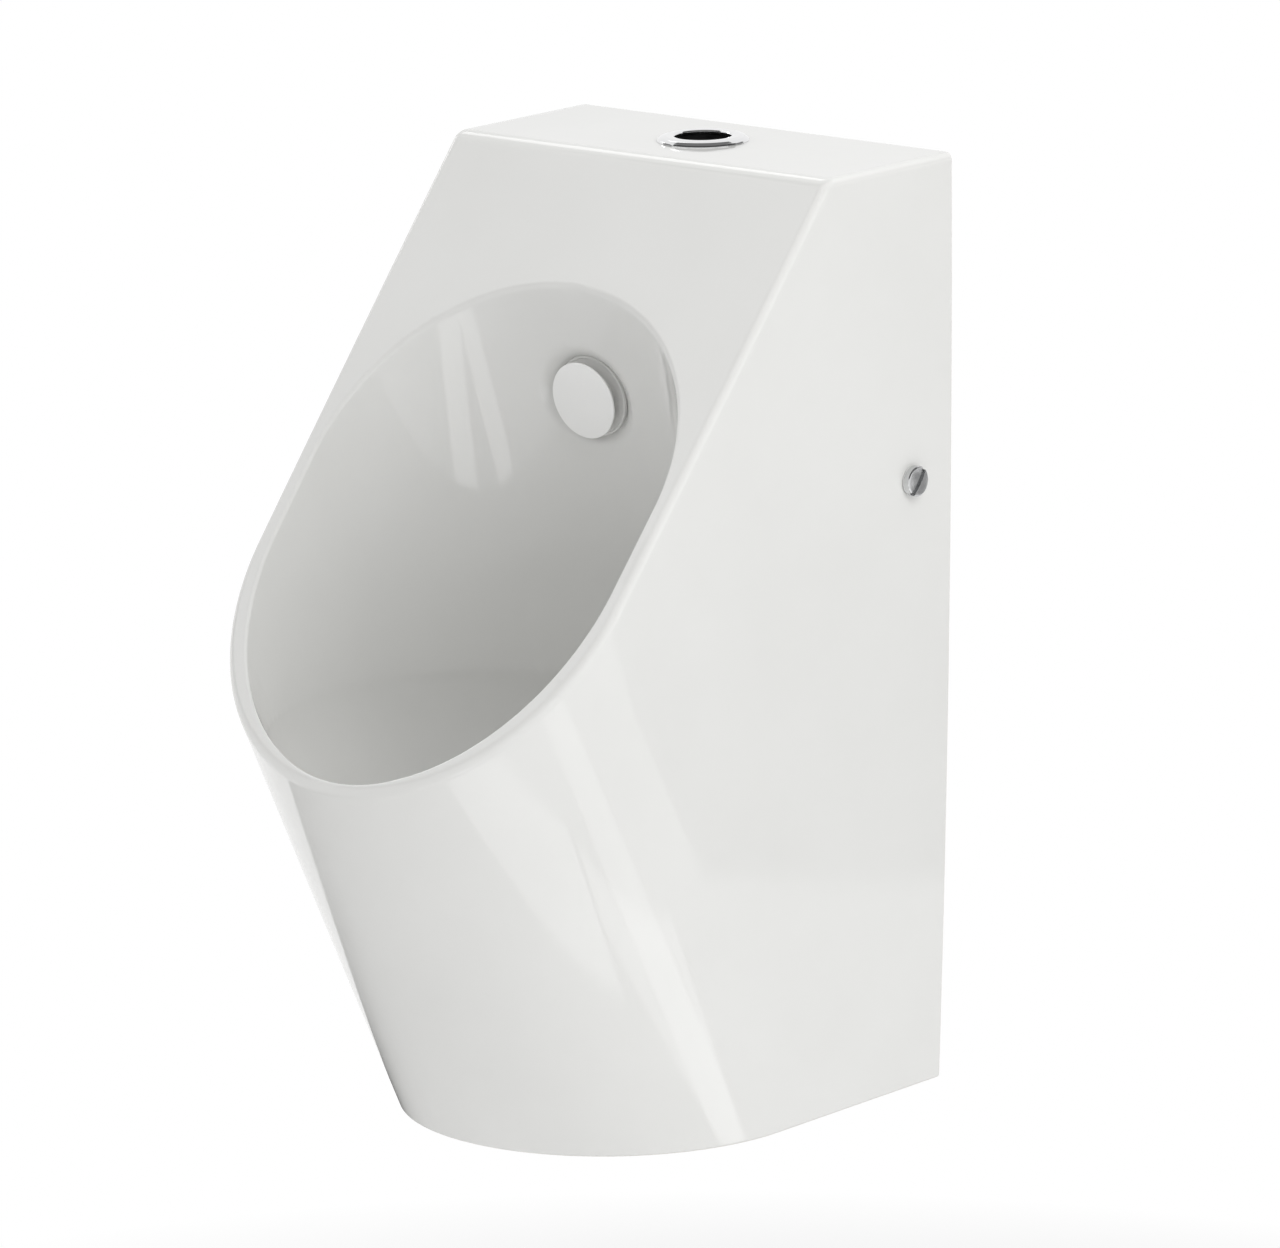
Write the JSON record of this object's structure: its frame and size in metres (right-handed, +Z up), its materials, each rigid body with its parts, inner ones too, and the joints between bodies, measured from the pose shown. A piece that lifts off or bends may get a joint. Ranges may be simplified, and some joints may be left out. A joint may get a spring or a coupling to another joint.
{
  "type": "wall hung urinal",
  "caption": "Wall hung ceramic urinal with a top inlet, sloped oval mouth, tapering U-shaped front, hidden trap and side fixing screws",
  "frame": {"origin": "on the wall plane, in the middle of the four wall fixing holes", "axes": "+Z up, +Y into the wall, so the front looks along -Y, and +X to the right seen from the front"},
  "size_m": [0.3156, 0.46, 0.6036],
  "materials": {
    "glazed_ceramic": "glossy white glaze",
    "chrome_plate": "polished chrome plate",
    "cap_plastic": "smooth white moulded plastic",
    "white_plastic": "satin moulded polypropylene",
    "grey_plastic": "satin grey pipe plastic",
    "black_rubber": "moulded black rubber",
    "grey_rubber": "flat cut grey rubber",
    "zinc_steel": "zinc plated pressed steel"
  },
  "bodies": {
    "fixture": {"ceramic_body": "glazed_ceramic", "inlet_rosette": "chrome_plate", "inlet_gasket": "grey_rubber", "inlet_spud": "white_plastic", "inlet_lip_seal": "black_rubber", "inlet_lock_nut": "white_plastic", "flush_elbow": "grey_plastic", "flush_elbow_seal": "black_rubber", "spreader_body": "white_plastic", "spreader_gasket": "grey_rubber", "spreader_washer": "grey_rubber", "spreader_lock_nut": "white_plastic", "spreader_sleeve_seal": "black_rubber", "waste_flange": "chrome_plate", "waste_top_gasket": "grey_rubber", "waste_bottom_gasket": "grey_rubber", "waste_lock_nut": "white_plastic", "trap_union_nut": "white_plastic", "trap_union_seal": "black_rubber", "trap_dip_tube": "white_plastic", "trap_body": "white_plastic", "trap_outlet_nut": "white_plastic", "trap_outlet_seal": "black_rubber", "outlet_pipe": "grey_plastic", "left_bracket": "zinc_steel", "right_bracket": "zinc_steel", "left_side_bush": "white_plastic", "right_side_bush": "white_plastic"},
    "cap": {"spreader_cap": "cap_plastic"},
    "strainer": {"waste_strainer": "chrome_plate"},
    "cup_seal": {"trap_cup_seal": "black_rubber"},
    "cup": {"trap_cup": "white_plastic"},
    "left_washer": {"left_screw_washer": "cap_plastic"},
    "right_washer": {"right_screw_washer": "cap_plastic"},
    "left_screw": {"left_side_screw": "chrome_plate"},
    "right_screw": {"right_side_screw": "chrome_plate"}
  },
  "joints": [
    {"name": "spreader_cap_pull", "type": "slide", "parent": "fixture", "child": "cap", "axis": [0, -0.9848, -0.1736], "range_m": [0, 0.02]},
    {"name": "strainer_lift", "type": "slide", "parent": "fixture", "child": "strainer", "axis": [0, 0, 1], "range_m": [0, 0.04]},
    {"name": "cup_drop", "type": "slide", "parent": "fixture", "child": "cup_seal", "axis": [0, 0, -1], "range_m": [0, 0.016]},
    {"name": "cup_turn", "type": "hinge", "parent": "cup_seal", "child": "cup", "pos_m": [0, -0.222, -0.36], "axis": [0, 0, -1], "range_deg": [0, 1439]},
    {"name": "left_washer_slide", "type": "slide", "parent": "fixture", "child": "left_washer", "axis": [-1, 0, 0], "range_m": [0, 0.012]},
    {"name": "left_screw_turn", "type": "hinge", "parent": "left_washer", "child": "left_screw", "pos_m": [-0.15, -0.04, 0], "axis": [-1, 0, 0], "range_deg": [0, 2879]},
    {"name": "right_washer_slide", "type": "slide", "parent": "fixture", "child": "right_washer", "axis": [1, 0, 0], "range_m": [0, 0.012]},
    {"name": "right_screw_turn", "type": "hinge", "parent": "right_washer", "child": "right_screw", "pos_m": [0.15, -0.04, 0], "axis": [1, 0, 0], "range_deg": [0, 2879]}
  ],
  "couplings": [
    {"joint": "cup_drop", "follows": "cup_turn", "m_per_rad": 0.00063662},
    {"joint": "left_washer_slide", "follows": "left_screw_turn", "m_per_rad": 0.00019894},
    {"joint": "right_washer_slide", "follows": "right_screw_turn", "m_per_rad": 0.00019894}
  ]
}
